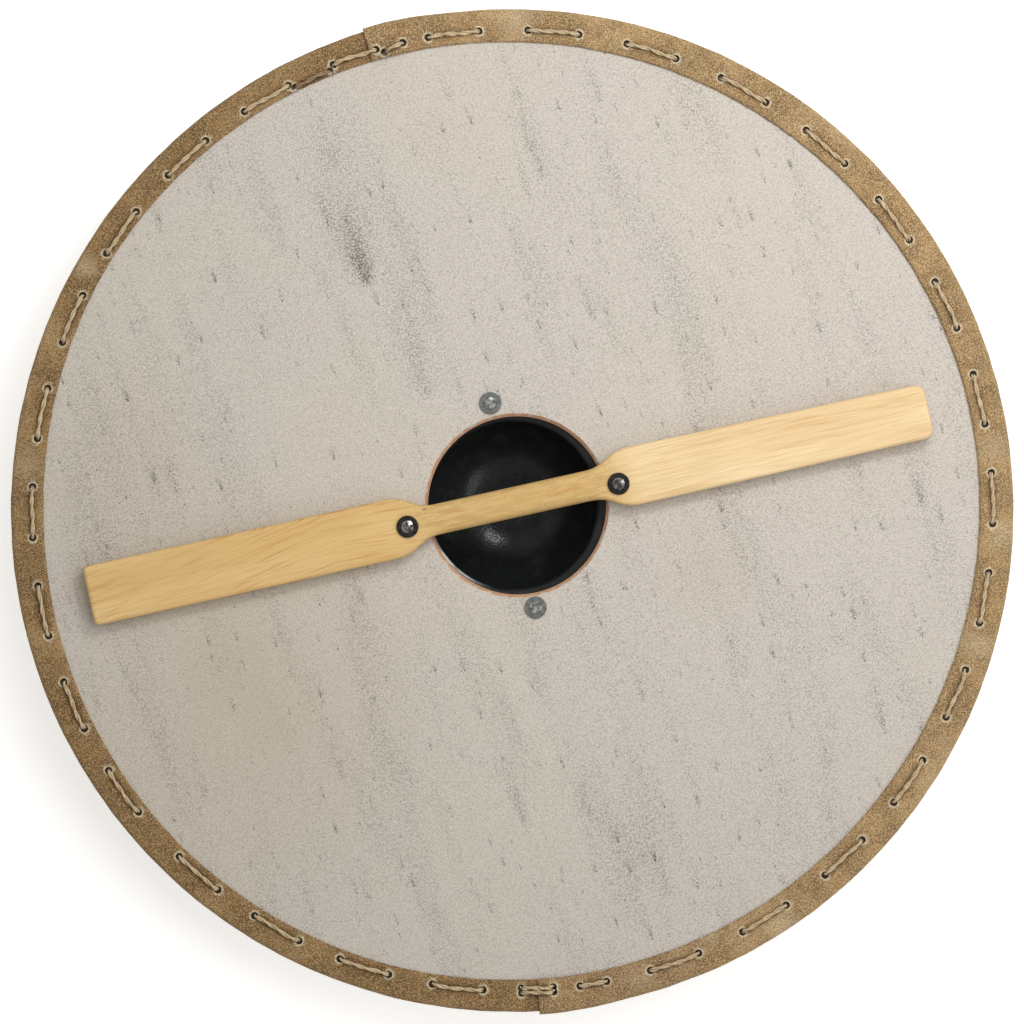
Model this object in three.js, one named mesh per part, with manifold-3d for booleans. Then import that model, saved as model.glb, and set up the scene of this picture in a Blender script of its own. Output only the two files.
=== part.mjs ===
// Wooden round shield: a flat plywood disc with a hand hole, a domed steel boss over the hole,
// a hardwood grip across it, four rivets with washers, and a hide edging laced on with twine.
//
// Millimetres, +Z up. The shield lies face down on the flat crown of its boss, so its back,
// the side that is held, faces up. The origin is the middle of that crown, the grip runs
// along X and the grain of the board along Y.

import * as THREE from "three";
import Module from "manifold-3d";
import { mergeVertices } from "three/addons/utils/BufferGeometryUtils.js";

const wasm = await Module();
wasm.setup();

// Clearance between pieces that touch
const fitGap = 0.3;

// Board
const shieldDiameter = 820;
const boardThickness = 9;
const boardShift = [-1.5, -4];
const boardFacets = 48;

// Hand hole
const handHoleRadius = 73;
const handHoleShift = [3.2, -0.8];
const handHoleBevel = 2;
const handHoleFacets = 36;

// Steel boss: crown, dome, collar, rolled lip and flange
const bossHeight = 72;
const bossSteel = 2;
const bossBore = 138;
const bossCrownFlat = 30;
const bossCollar = 10;
const bossLipRadius = 4;
const bossFlangeWidth = 25;
const bossFacets = 28;

// Grip: a bar with two flat paddles and a narrow handle over the hand hole
const gripLength = 700;
const gripShift = [-3.2, 2.2];
const gripThickness = 16;
const gripEdgeRound = 3;
const paddleWidthLeft = 49;
const paddleWidthRight = 48;
const paddleEndWidthRight = 44.5;
const paddleCornerLeft = 4;
const paddleCornerRight = 6;
const handleWidth = 25;
const handleLength = 124;
const gripNeckLength = 40;

// Rivets and washers
const rivetDiameter = 6;
const rivetHeadDiameter = 14;
const rivetHeadHeight = 3.5;
const rivetEndDiameter = 10;
const rivetEndHeight = 1.6;
const boardRivetStep = -2;
const gripRivetSkewAngle = -1;
const washerDiameter = 18;
const washerThickness = 1.5;
const rivetFacets = 8;
const washerFacets = 10;

// Hide edging: two strips folded round the rim, the right one lapped over the left one's ends
const hideThickness = 2;
const hideWidth = 27;
const hideFold = 2;
const seamTopAngle = 94.8;
const seamBottomAngle = 260.6;
const lapLength = 18;
const lapRamp = 6;

// Twine lacing: its place, its size and its holes
const twineDiameter = 3.4;
const twineBend = 2;
const laceInset = 17.6;
const awlPlay = 1.2;
const strandGap = 0.6;
const stitchSpanAngle = 6.1;
const tailLength = 10;

// Heights and radii that follow from the sizes above
const boardFront = bossHeight + fitGap;
const boardBack = boardFront + boardThickness;
const shieldRadius = shieldDiameter / 2;
const boardRadius = shieldRadius - hideThickness - fitGap;
const hideFront = boardFront - fitGap - hideThickness;
const hideBack = boardBack + fitGap + hideThickness;
const lapRise = hideThickness + fitGap;
const bossLipStart = bossBore / 2 + bossSteel + bossLipRadius;
const rivetReach = bossLipStart + bossFlangeWidth / 2;
const gripBottom = boardBack + fitGap;
const gripTop = gripBottom + gripThickness;
const laceRadius = shieldRadius - laceInset;
const twineRadius = twineDiameter / 2;
const doubleShift = twineDiameter + strandGap;

const degrees = THREE.MathUtils.degToRad;
const arcDegrees = (length, radius) => THREE.MathUtils.radToDeg(length / radius);

const paint = {
  board: new THREE.MeshStandardMaterial({ color: 0xc2b9ac, roughness: 0.85 }),
  hide: new THREE.MeshStandardMaterial({ color: 0x8c7250, roughness: 0.95 }),
  twine: new THREE.MeshStandardMaterial({ color: 0xb49c74, roughness: 0.9 }),
  grip: new THREE.MeshStandardMaterial({ color: 0xe2bf86, roughness: 0.6 }),
  blackSteel: new THREE.MeshStandardMaterial({ color: 0x141718, roughness: 0.25 }),
  zinc: new THREE.MeshStandardMaterial({ color: 0x9b9a97, roughness: 0.45, metalness: 1 }),
};

// Solids are cut and joined with these three helpers.

function solidOf(geometry) {
  const bare = geometry.clone();
  bare.deleteAttribute("normal");
  bare.deleteAttribute("uv");
  const merged = mergeVertices(bare, 1e-4);
  const corners = merged.index.array;
  const kept = [];
  for (let i = 0; i < corners.length; i += 3) {
    const [a, b, c] = corners.subarray(i, i + 3);
    if (a !== b && b !== c && c !== a) kept.push(a, b, c);
  }
  return new wasm.Manifold(
    new wasm.Mesh({
      numProp: 3,
      vertProperties: merged.attributes.position.array,
      triVerts: new Uint32Array(kept),
    }),
  );
}

function joined(solids) {
  return solids.reduce((whole, piece) => whole.add(piece));
}

function meshOf(name, solid, material) {
  const { vertProperties, triVerts } = solid.getMesh();
  const geometry = new THREE.BufferGeometry();
  geometry.setAttribute("position", new THREE.BufferAttribute(vertProperties, 3));
  geometry.setIndex(new THREE.BufferAttribute(triVerts, 1));
  geometry.computeVertexNormals();
  const mesh = new THREE.Mesh(geometry, material);
  mesh.name = name;
  return mesh;
}

// A profile of [radius, height] pairs turned about an upright axis
function turned(profile, facets) {
  const points = profile.map(([radius, height]) => new THREE.Vector2(radius, height));
  return new THREE.LatheGeometry(points, facets).rotateX(Math.PI / 2);
}

function uprightPin(radius, bottom, top, facets) {
  const pin = new THREE.CylinderGeometry(radius, radius, top - bottom, facets);
  return pin.rotateX(Math.PI / 2).translate(0, 0, (bottom + top) / 2);
}

// A path whose extrusion has one section at each given point, square to the heading there
class PointPath extends THREE.Curve {
  constructor(points, headings) {
    super();
    this.points = points;
    this.headings = headings;
  }

  getPointAt(t) {
    return this.points[Math.round(t * (this.points.length - 1))].clone();
  }

  getTangentAt(t, target = new THREE.Vector3()) {
    return target.copy(this.headings[Math.round(t * (this.points.length - 1))]);
  }
}

function extrudedAlong(shape, points, headings) {
  const extrudePath = new PointPath(points, headings);
  return new THREE.ExtrudeGeometry(shape, { steps: points.length - 1, extrudePath });
}

// The heading at each point of a bent line, halfway between the stretches before and after it
function bendHeadings(points) {
  const stretches = points.slice(1).map((point, i) => point.clone().sub(points[i]).normalize());
  return points.map((_, i) => {
    const before = stretches[Math.max(i - 1, 0)];
    const after = stretches[Math.min(i, stretches.length - 1)];
    return before.clone().add(after).normalize();
  });
}

// Rivets stand round the boss in the middle of its flange: one pair holds the grip too, the
// other only the board.
const rivetPlaces = [
  { name: "grip_right", reach: rivetReach, angle: gripRivetSkewAngle, throughGrip: true },
  { name: "board_top", reach: rivetReach + boardRivetStep, angle: 90, throughGrip: false },
  { name: "grip_left", reach: rivetReach, angle: 180 + gripRivetSkewAngle, throughGrip: true },
  { name: "board_bottom", reach: rivetReach + boardRivetStep, angle: 270, throughGrip: false },
];

function rivetSpot({ reach, angle }) {
  return [reach * Math.cos(degrees(angle)), reach * Math.sin(degrees(angle)), 0];
}

function rivetHoles() {
  const radius = (rivetDiameter / 2 + fitGap) / Math.cos(Math.PI / rivetFacets);
  return joined(
    rivetPlaces.map((place) => {
      const hole = uprightPin(radius, 0, gripTop + fitGap, rivetFacets);
      return solidOf(hole.translate(...rivetSpot(place)));
    }),
  );
}

function makeRivet(place) {
  const seat = place.throughGrip ? gripTop : boardBack;
  const headTop = bossHeight - bossSteel - fitGap;
  const endBottom = seat + fitGap + washerThickness + fitGap;
  const headRadius = rivetHeadDiameter / 2;
  const shankRadius = rivetDiameter / 2;
  const endRadius = rivetEndDiameter / 2;
  const profile = [
    [0, headTop - rivetHeadHeight],
    [headRadius * 0.65, headTop - rivetHeadHeight * 0.8],
    [headRadius, headTop],
    [shankRadius, headTop],
    [shankRadius, endBottom],
    [endRadius, endBottom],
    [endRadius * 0.75, endBottom + rivetEndHeight],
    [0, endBottom + rivetEndHeight],
  ];
  const rivet = turned(profile, rivetFacets).translate(...rivetSpot(place));
  return meshOf("rivet_" + place.name, solidOf(rivet), paint.zinc);
}

function makeWasher(place) {
  const bottom = (place.throughGrip ? gripTop : boardBack) + fitGap;
  const top = bottom + washerThickness;
  const inner = (rivetDiameter / 2 + fitGap) / Math.cos(Math.PI / washerFacets);
  const outer = washerDiameter / 2;
  const profile = [
    [inner, bottom],
    [outer, bottom],
    [outer, top],
    [inner, top],
    [inner, bottom],
  ];
  const washer = turned(profile, washerFacets).translate(...rivetSpot(place));
  const material = place.throughGrip ? paint.blackSteel : paint.zinc;
  return meshOf("washer_" + place.name, solidOf(washer), material);
}

// Boss

function bossProfile() {
  const innerRadius = bossBore / 2;
  const crownRadius = bossCrownFlat / 2;
  const flangeRadius = bossLipStart + bossFlangeWidth;
  const lipCentre = [bossLipStart, bossHeight - bossSteel - bossLipRadius];
  const collarStart = lipCentre[1] - bossCollar;
  const domeSteps = 4;
  const lipSteps = 2;
  const dome = (side) => {
    const reach = innerRadius + bossSteel - side - crownRadius;
    return Array.from({ length: domeSteps + 1 }, (_, i) => {
      const turn = (i / domeSteps) * (Math.PI / 2);
      const height = side + (collarStart - side) * (1 - Math.cos(turn));
      return [crownRadius + reach * Math.sin(turn), height];
    });
  };
  const lip = (radius) =>
    Array.from({ length: lipSteps + 1 }, (_, i) => {
      const turn = (i / lipSteps) * (Math.PI / 2);
      return [
        lipCentre[0] - radius * Math.cos(turn),
        lipCentre[1] + radius * Math.sin(turn),
      ];
    });
  return [
    [0, 0],
    ...dome(0),
    ...lip(bossLipRadius),
    [flangeRadius, bossHeight - bossSteel],
    [flangeRadius, bossHeight],
    ...lip(bossLipRadius + bossSteel).reverse(),
    ...dome(bossSteel).reverse(),
    [0, bossSteel],
  ];
}

function makeBoss(holes) {
  const boss = solidOf(turned(bossProfile(), bossFacets)).subtract(holes);
  return meshOf("boss", boss, paint.blackSteel);
}

// Grip

function gripOutline() {
  const inset = gripEdgeRound;
  const left = gripShift[0] - gripLength / 2 + inset;
  const right = gripShift[0] + gripLength / 2 - inset;
  const neckStart = handleLength / 2;
  const neckEnd = neckStart + gripNeckLength;
  const handleSide = handleWidth / 2 - inset;
  const leftSide = paddleWidthLeft / 2 - inset;
  const rightSide = paddleWidthRight / 2 - inset;
  const rightEndSide = paddleEndWidthRight / 2 - inset;
  const neckPull = gripNeckLength / 2;
  const shape = new THREE.Shape();
  const middle = gripShift[1];
  const lineTo = (x, y) => shape.lineTo(x, middle + y);
  const neckTo = (fromX, fromY, toX, toY) => {
    const pull = Math.sign(toX - fromX) * neckPull;
    shape.bezierCurveTo(fromX + pull, middle + fromY, toX - pull, middle + toY, toX, middle + toY);
  };
  const cornerTo = (cornerX, cornerY, x, y) =>
    shape.quadraticCurveTo(cornerX, middle + cornerY, x, middle + y);
  shape.moveTo(left + paddleCornerLeft, middle - leftSide);
  lineTo(-neckEnd, -leftSide);
  neckTo(-neckEnd, -leftSide, -neckStart, -handleSide);
  lineTo(neckStart, -handleSide);
  neckTo(neckStart, -handleSide, neckEnd, -rightSide);
  lineTo(right - paddleCornerRight, -rightEndSide);
  cornerTo(right, -rightEndSide, right, paddleCornerRight - rightEndSide);
  lineTo(right, rightEndSide - paddleCornerRight);
  cornerTo(right, rightEndSide, right - paddleCornerRight, rightEndSide);
  lineTo(neckEnd, rightSide);
  neckTo(neckEnd, rightSide, neckStart, handleSide);
  lineTo(-neckStart, handleSide);
  neckTo(-neckStart, handleSide, -neckEnd, leftSide);
  lineTo(left + paddleCornerLeft, leftSide);
  cornerTo(left, leftSide, left, leftSide - paddleCornerLeft);
  lineTo(left, paddleCornerLeft - leftSide);
  cornerTo(left, -leftSide, left + paddleCornerLeft, -leftSide);
  return shape;
}

function makeGrip(holes) {
  const bar = new THREE.ExtrudeGeometry(gripOutline(), {
    depth: gripThickness - 2 * gripEdgeRound,
    bevelThickness: gripEdgeRound,
    bevelSize: gripEdgeRound,
    bevelSegments: 2,
    curveSegments: 4,
  });
  bar.translate(0, 0, gripBottom + gripEdgeRound);
  return meshOf("grip", solidOf(bar).subtract(holes), paint.grip);
}

// Lacing: one twine goes round the rim, down through one hole and up through the next.

// How far the outer strip is lifted at an angle, where it passes over an end of the inner one
function lapLift(angle) {
  const lap = arcDegrees(lapLength, shieldRadius);
  const ramp = arcDegrees(lapRamp, shieldRadius);
  const gap = arcDegrees(fitGap, shieldRadius);
  const fromSeam = (turn) => THREE.MathUtils.euclideanModulo(turn + gap, 360) - gap;
  const nearest = Math.min(fromSeam(seamTopAngle - angle), fromSeam(angle - seamBottomAngle));
  const along = THREE.MathUtils.clamp((lap + gap + ramp - nearest) / ramp, 0, 1);
  return lapRise * along;
}

// Places where a strand bends over the edge or the shoulder of a lap
function lapShoulders() {
  const lap = arcDegrees(lapLength + fitGap, shieldRadius);
  const clear = arcDegrees(twineRadius + fitGap, laceRadius);
  const besideTop = [seamTopAngle + clear, seamTopAngle - lap - clear];
  const besideBottom = [seamBottomAngle - clear, seamBottomAngle + lap + clear];
  return [...besideTop, ...besideBottom];
}

function stitches(first, last, count) {
  return Array.from({ length: count }, (_, i) => {
    const start = first + ((last - first) * i) / (count - 1);
    return [
      [start, 0],
      [start + stitchSpanAngle, 0],
    ];
  }).flat();
}

// Every hole in the order the twine takes it, as [angle, step off the lacing circle]
const laceHoles = [
  [seamTopAngle - 0.8, 0],
  [seamTopAngle + 4.6, 0],
  ...stitches(seamTopAngle + 10.5, seamTopAngle + 105.5, 9),
  ...stitches(seamBottomAngle - 47, seamBottomAngle - 12.7, 4),
  [seamBottomAngle - 2, doubleShift / 2],
  [seamBottomAngle + 1.8, doubleShift / 2],
  [seamBottomAngle - 2, -doubleShift / 2],
  [seamBottomAngle + 1.8, -doubleShift / 2],
  [seamBottomAngle + 5, 0],
  [seamBottomAngle + 8.2, 0],
  ...stitches(seamBottomAngle + 13.6, seamTopAngle + 346.7, 15),
  [seamTopAngle + 355.9, 0],
  [seamTopAngle + 358.3, -doubleShift],
  [seamTopAngle + 365.3, -doubleShift],
  [seamTopAngle + 369.9, -doubleShift],
];

function rimPoint(angle, radius, height) {
  const x = boardShift[0] + radius * Math.cos(degrees(angle));
  const y = boardShift[1] + radius * Math.sin(degrees(angle));
  return new THREE.Vector3(x, y, height);
}

// Points of one strand, from over one hole to over the next: it rounds its bends on the back,
// which shows, and turns square into the holes on the front.
function strandPoints([startAngle, startStep], [endAngle, endStep], onBack) {
  const way = Math.sign(endAngle - startAngle);
  const bend = arcDegrees(twineBend, laceRadius) * way;
  const proud = (lift) => lift + fitGap + twineRadius;
  const onSurface = (angle, lift = lapLift(angle), dip = 0) => {
    const step = THREE.MathUtils.mapLinear(angle, startAngle, endAngle, startStep, endStep);
    const height = onBack ? hideBack + proud(lift) - dip : hideFront - proud(lift);
    return rimPoint(angle, laceRadius + step, height);
  };
  const bendsOver = lapShoulders()
    .flatMap((angle) => [angle, angle + 360])
    .filter((angle) => (angle - startAngle - bend) * (angle - endAngle + bend) < 0)
    .map((angle) => onSurface(angle, lapRise));
  if (!onBack) return [onSurface(startAngle), ...bendsOver, onSurface(endAngle)];
  return [
    onSurface(startAngle, lapLift(startAngle), twineBend),
    onSurface(startAngle + bend, lapLift(startAngle)),
    ...bendsOver,
    onSurface(endAngle - bend, lapLift(endAngle)),
    onSurface(endAngle, lapLift(endAngle), twineBend),
  ];
}

function lacePath() {
  const points = [];
  const tail = arcDegrees(tailLength, laceRadius);
  const first = laceHoles[0];
  const last = laceHoles[laceHoles.length - 1];
  points.push(...strandPoints([first[0] - tail, first[1]], first, false));
  for (let i = 0; i + 1 < laceHoles.length; i += 1) {
    points.push(...strandPoints(laceHoles[i], laceHoles[i + 1], i % 2 === 0));
  }
  points.push(...strandPoints(last, [last[0] - tail, last[1]], false));
  return points;
}

function makeLacing() {
  const section = new THREE.Shape([
    new THREE.Vector2(twineRadius, 0),
    new THREE.Vector2(0, twineRadius),
    new THREE.Vector2(-twineRadius, 0),
    new THREE.Vector2(0, -twineRadius),
  ]);
  const path = lacePath();
  const lacing = extrudedAlong(section, path, bendHeadings(path));
  return meshOf("edge_lacing", solidOf(lacing), paint.twine);
}

// Awl holes are four-sided, with a corner along the rim.
function awlHoles() {
  const reach = twineRadius + awlPlay;
  const margin = lapRise + fitGap;
  return joined(
    laceHoles.map(([angle, step]) => {
      const hole = uprightPin(reach, hideFront - margin, hideBack + margin, 4);
      hole.rotateZ(degrees(angle));
      const { x, y } = rimPoint(angle, laceRadius + step, 0);
      return solidOf(hole.translate(x, y, 0));
    }),
  );
}

// Hide strips

function hideSection() {
  const innerEdge = shieldRadius - hideWidth;
  const legFront = boardFront - fitGap;
  const legBack = boardBack + fitGap;
  const foldInside = boardRadius + fitGap;
  const corners = [
    [innerEdge, legBack],
    [foldInside, legBack],
    [foldInside, legFront],
    [innerEdge, legFront],
    [innerEdge, hideFront],
    [shieldRadius - hideFold, hideFront],
    [shieldRadius, hideFront + hideFold],
    [shieldRadius, hideBack - hideFold],
    [shieldRadius - hideFold, hideBack],
    [innerEdge, hideBack],
  ];
  // An extrusion round the rim lays the section's first axis along -Z and its second one inwards.
  return new THREE.Shape(
    corners.map(([radius, height]) => new THREE.Vector2(-height, shieldRadius - radius)),
  );
}

function stripAngles(from, to, extra) {
  const step = 360 / boardFacets;
  const angles = [from, ...extra, to];
  const tooClose = arcDegrees(fitGap, shieldRadius);
  for (let a = Math.ceil(from / step) * step; a < to; a += step) {
    if (angles.every((other) => Math.abs(other - a) > tooClose)) angles.push(a);
  }
  return angles.sort((a, b) => a - b);
}

function hideStrip(angles) {
  const route = angles.map((angle) => rimPoint(angle, shieldRadius, 0));
  const headings = angles.map((angle) => {
    return new THREE.Vector3(-Math.sin(degrees(angle)), Math.cos(degrees(angle)), 0);
  });
  return extrudedAlong(hideSection(), route, headings);
}

// Pushes the outer strip away from the board where it passes over the inner one
function lifted(strip) {
  const position = strip.attributes.position;
  const middle = (hideFront + hideBack) / 2;
  for (let i = 0; i < position.count; i += 1) {
    const x = position.getX(i) - boardShift[0];
    const y = position.getY(i) - boardShift[1];
    const radius = Math.hypot(x, y);
    const lift = lapLift(THREE.MathUtils.radToDeg(Math.atan2(y, x)));
    const outward = radius > boardRadius - hideFold ? 1 + lift / radius : 1;
    position.setX(i, boardShift[0] + x * outward);
    position.setY(i, boardShift[1] + y * outward);
    position.setZ(i, position.getZ(i) + Math.sign(position.getZ(i) - middle) * lift);
  }
  return strip;
}

function makeHides(holes) {
  const lap = arcDegrees(lapLength, shieldRadius);
  const ledge = arcDegrees(lapLength + fitGap, shieldRadius);
  const slope = ledge + arcDegrees(lapRamp, shieldRadius);
  const leftBends = [seamTopAngle, seamBottomAngle];
  const left = hideStrip(stripAngles(seamTopAngle - lap, seamBottomAngle + lap, leftBends));
  const rightStart = seamBottomAngle - 360;
  const bends = [lap, ledge, slope].flatMap((turn) => [rightStart + turn, seamTopAngle - turn]);
  const right = lifted(hideStrip(stripAngles(rightStart, seamTopAngle, bends)));
  return [
    meshOf("rim_hide_left", solidOf(left).subtract(holes), paint.hide),
    meshOf("rim_hide_right", solidOf(right).subtract(holes), paint.hide),
  ];
}

// Board

function makeBoard(holes) {
  // Its corners stand at the same angles as the hide strips' own, counted from +X.
  const disc = uprightPin(boardRadius, boardFront, boardBack, boardFacets).rotateZ(Math.PI / 2);
  disc.translate(boardShift[0], boardShift[1], 0);
  const bevelStart = boardBack - handHoleBevel;
  const profile = [
    [0, boardFront - fitGap],
    [handHoleRadius, boardFront - fitGap],
    [handHoleRadius, bevelStart],
    [handHoleRadius + handHoleBevel + fitGap, boardBack + fitGap],
    [0, boardBack + fitGap],
  ];
  const handHole = turned(profile, handHoleFacets).translate(handHoleShift[0], handHoleShift[1], 0);
  const board = solidOf(disc).subtract(solidOf(handHole)).subtract(holes);
  return meshOf("shield_board", board, paint.board);
}

const shield = new THREE.Group();
shield.name = "wooden_round_shield";
const rivetCuts = rivetHoles();
const awlCuts = awlHoles();
shield.add(makeBoard(rivetCuts.add(awlCuts)));
shield.add(...makeHides(awlCuts));
shield.add(makeLacing());
shield.add(makeBoss(rivetCuts));
shield.add(makeGrip(rivetCuts));
for (const place of rivetPlaces) shield.add(makeRivet(place), makeWasher(place));

export default shield;
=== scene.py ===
"""A wooden round shield lying face down on its boss, seen from above: its back with the hand
hole, the grip across it, the riveted boss showing through the hole, and the hide edging that is
laced on with twine.

Metres. The shield's back faces up, the grip runs along X and the grain of the board along Y.
"""

import math

import bmesh
import bpy
import numpy as np
from mathutils import Matrix, Vector, noise


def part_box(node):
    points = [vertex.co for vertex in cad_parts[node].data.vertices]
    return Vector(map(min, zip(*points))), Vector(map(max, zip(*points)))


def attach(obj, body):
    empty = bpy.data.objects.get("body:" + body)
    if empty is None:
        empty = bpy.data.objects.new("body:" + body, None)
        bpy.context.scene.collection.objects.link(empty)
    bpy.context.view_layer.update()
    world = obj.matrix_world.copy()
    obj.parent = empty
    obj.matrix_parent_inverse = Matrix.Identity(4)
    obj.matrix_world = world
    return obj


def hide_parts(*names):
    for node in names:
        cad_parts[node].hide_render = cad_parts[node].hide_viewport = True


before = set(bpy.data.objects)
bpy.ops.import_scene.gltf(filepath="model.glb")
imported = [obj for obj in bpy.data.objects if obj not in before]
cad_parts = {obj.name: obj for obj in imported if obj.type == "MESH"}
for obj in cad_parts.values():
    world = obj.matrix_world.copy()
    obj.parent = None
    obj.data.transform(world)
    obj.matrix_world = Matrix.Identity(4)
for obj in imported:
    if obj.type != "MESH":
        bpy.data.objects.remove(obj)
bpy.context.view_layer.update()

mm = 0.001
full_turn = 2 * math.pi
gap = 0.3 * mm


def box_size(node):
    low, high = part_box(node)
    return high - low


def box_middle(node):
    low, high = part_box(node)
    return (low + high) / 2


# Sizes read from the fixed model
board_low, board_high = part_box("shield_board")
hide_low, hide_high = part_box("rim_hide_left")
_, lapped_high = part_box("rim_hide_right")
_, boss_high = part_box("boss")
grip_low, grip_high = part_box("grip")
board_middle = box_middle("shield_board")
board_front, board_back = board_low.z, board_high.z
board_radius = box_size("shield_board").x / 2
lap_rise = lapped_high.z - hide_high.z
shield_radius = lapped_high.x - board_middle.x
hide_front, hide_back = hide_low.z, hide_high.z
boss_height = boss_high.z
flange_radius = box_size("boss").x / 2
grip_bottom, grip_top = grip_low.z, grip_high.z

# Board and hand hole
hand_hole_radius = 73 * mm
hand_hole_middle = Vector((3.2 * mm, -0.8 * mm, 0))
hand_hole_bevel = 2.5 * mm
board_edge_round = 1 * mm
board_facets = 192
ply_thickness = 1.3 * mm

# Boss
boss_steel = 2 * mm
boss_bore = 137 * mm
boss_crown_flat = 30 * mm
boss_collar = 10 * mm
boss_lip_radius = 2.5 * mm
boss_facets = 144

# Grip
paddle_width_left = 49 * mm
paddle_width_right = 48 * mm
paddle_end_width_right = 44.5 * mm
paddle_corner_left = 4 * mm
paddle_corner_right = 8 * mm
handle_width = 25 * mm
handle_length = 124 * mm
neck_length = 40 * mm
paddle_top_round = 3 * mm
paddle_bottom_round = 1.2 * mm
handle_round = 7.4 * mm

# Rivets and washers
rivet_places = ("grip_right", "board_top", "grip_left", "board_bottom")
rivet_diameter = 6 * mm
rivet_head_diameter = 14 * mm
rivet_head_height = 3.5 * mm
rivet_end_diameter = 10 * mm
rivet_end_height = 1.6 * mm

# Hide edging
hide_thickness = 2 * mm
hide_width = 27 * mm
hide_round = 3.4 * mm
seam_top_angle = 94.8
seam_bottom_angle = 260.6
lap_length = 18 * mm
lap_ramp = 14 * mm
rim_ramp = 70 * mm

# Lacing
twine_diameter = 3.4 * mm
lace_inset = 17.6 * mm
lace_radius = shield_radius - lace_inset
stitch_span_angle = 6.1
double_shift = 4 * mm
sunk_shift = -3 * mm
sunk_depth = 1.5 * mm
pulled_in = 0.1 * mm
tail_length = 10 * mm
awl_radius = 2.9 * mm
board_awl_radius = 1.4 * mm
ply_radius = 1.02 * mm
ply_offset = 0.82 * mm
ply_pitch = 23 * mm
ply_sides = 9
route_step = 0.5 * mm
twine_step = 1.15 * mm

# The picture: the camera looks straight down on the back and is turned about its own axis
picture_turn = math.radians(12.5)
picture_pixels = 1024
picture_width = 837.1 * mm
brush_lean = math.radians(6)
camera_rise = 2.8
camera_aim = Vector((-2.03 * mm, -5.2 * mm, board_back))


# Helpers for meshes


def mesh_of(name, bm):
    """Hands a bmesh over to a new mesh and frees it."""
    mesh = bpy.data.meshes.new(name)
    bm.to_mesh(mesh)
    bm.free()
    return mesh


def placed(name, data):
    """Puts a mesh, a light or a camera into the scene."""
    thing = bpy.data.objects.new(name, data)
    bpy.context.scene.collection.objects.link(thing)
    return thing


def finished(name, bm, materials, nodes, sharp_angle=40):
    """Turns a bmesh into the piece that stands for its nodes of the fixed model."""
    mesh = mesh_of(name, bm)
    for material in materials:
        mesh.materials.append(material)
    mesh.shade_smooth()
    mesh.set_sharp_from_angle(angle=math.radians(sharp_angle))
    piece = placed(name, mesh)
    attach(piece, "root")
    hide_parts(*nodes)
    return piece


def turned(profile, middle, facets):
    """Spins a closed profile of (radius, height) pairs about an upright axis."""
    bm = bmesh.new()
    verts = [bm.verts.new((radius, 0, height)) for radius, height in profile]
    edges = [bm.edges.new(pair) for pair in zip(verts, verts[1:])]
    if profile[0][0] > 0:
        edges.append(bm.edges.new((verts[-1], verts[0])))
    bmesh.ops.spin(bm, geom=verts + edges, cent=(0, 0, 0), axis=(0, 0, 1), angle=full_turn,
                   steps=facets, use_merge=True)
    bmesh.ops.remove_doubles(bm, verts=bm.verts, dist=1e-6)
    bmesh.ops.recalc_face_normals(bm, faces=bm.faces)
    bmesh.ops.translate(bm, verts=bm.verts, vec=(middle.x, middle.y, 0))
    return bm


def ring_of(loops, facets):
    """A closed ring drawn by extruding one circle through loops of (middle, radius, height)."""
    bm = bmesh.new()
    middle, radius, height = loops[0]
    verts = bmesh.ops.create_circle(bm, segments=facets, radius=radius)["verts"]
    bmesh.ops.translate(bm, verts=verts, vec=(middle.x, middle.y, height))
    edges = bm.edges[:]
    for next_middle, next_radius, next_height in loops[1:] + loops[:1]:
        made = bmesh.ops.extrude_edge_only(bm, edges=edges)["geom"]
        verts = [part for part in made if isinstance(part, bmesh.types.BMVert)]
        moved = set(verts)
        edges = [part for part in made if isinstance(part, bmesh.types.BMEdge)
                 and moved.issuperset(part.verts)]
        growth = next_radius / radius
        about = Matrix.Translation((-middle.x, -middle.y, 0))
        bmesh.ops.scale(bm, verts=verts, vec=(growth, growth, 1), space=about)
        shift = next_middle - middle
        bmesh.ops.translate(bm, verts=verts, vec=(shift.x, shift.y, next_height - height))
        middle, radius, height = next_middle, next_radius, next_height
    bmesh.ops.remove_doubles(bm, verts=bm.verts, dist=1e-6)
    bmesh.ops.recalc_face_normals(bm, faces=bm.faces)
    return bm


def sleeve(stations, sides, place):
    """Rolls a grid into a closed tube with flat ends. place(station, side) gives each corner."""
    bm = bmesh.new()
    bmesh.ops.create_grid(bm, x_segments=stations - 1, y_segments=sides, size=0.5)
    for vert in bm.verts:
        station = round((vert.co.x + 0.5) * (stations - 1))
        side = round((vert.co.y + 0.5) * sides) % sides
        vert.co = place(station, side)
    bmesh.ops.remove_doubles(bm, verts=bm.verts, dist=1e-7)
    bmesh.ops.holes_fill(bm, edges=bm.edges, sides=0)
    bmesh.ops.recalc_face_normals(bm, faces=bm.faces)
    return bm


def pin(bm, middle, radius, bottom, top, facets):
    """Adds an upright cylinder, the shape of a drilled hole."""
    made = bmesh.ops.create_cone(bm, cap_ends=True, segments=facets, radius1=radius,
                                 radius2=radius, depth=top - bottom)
    place = (middle.x, middle.y, (bottom + top) / 2)
    bmesh.ops.translate(bm, verts=made["verts"], vec=place)


def drilled(bm, add_pins):
    """Cuts the holes that add_pins draws out of a closed bmesh."""
    cutters = bmesh.new()
    add_pins(cutters)
    blank = placed("blank", mesh_of("blank", bm))
    tool = placed("cutters", mesh_of("cutters", cutters))
    cut = blank.modifiers.new("holes", "BOOLEAN")
    cut.operation = "DIFFERENCE"
    cut.solver = "MANIFOLD"
    cut.object = tool
    result = bmesh.new()
    result.from_object(blank, bpy.context.evaluated_depsgraph_get())
    for leftover in (blank, tool):
        bpy.data.objects.remove(leftover)
    bmesh.ops.remove_doubles(result, verts=result.verts, dist=1e-7)
    return result


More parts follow.
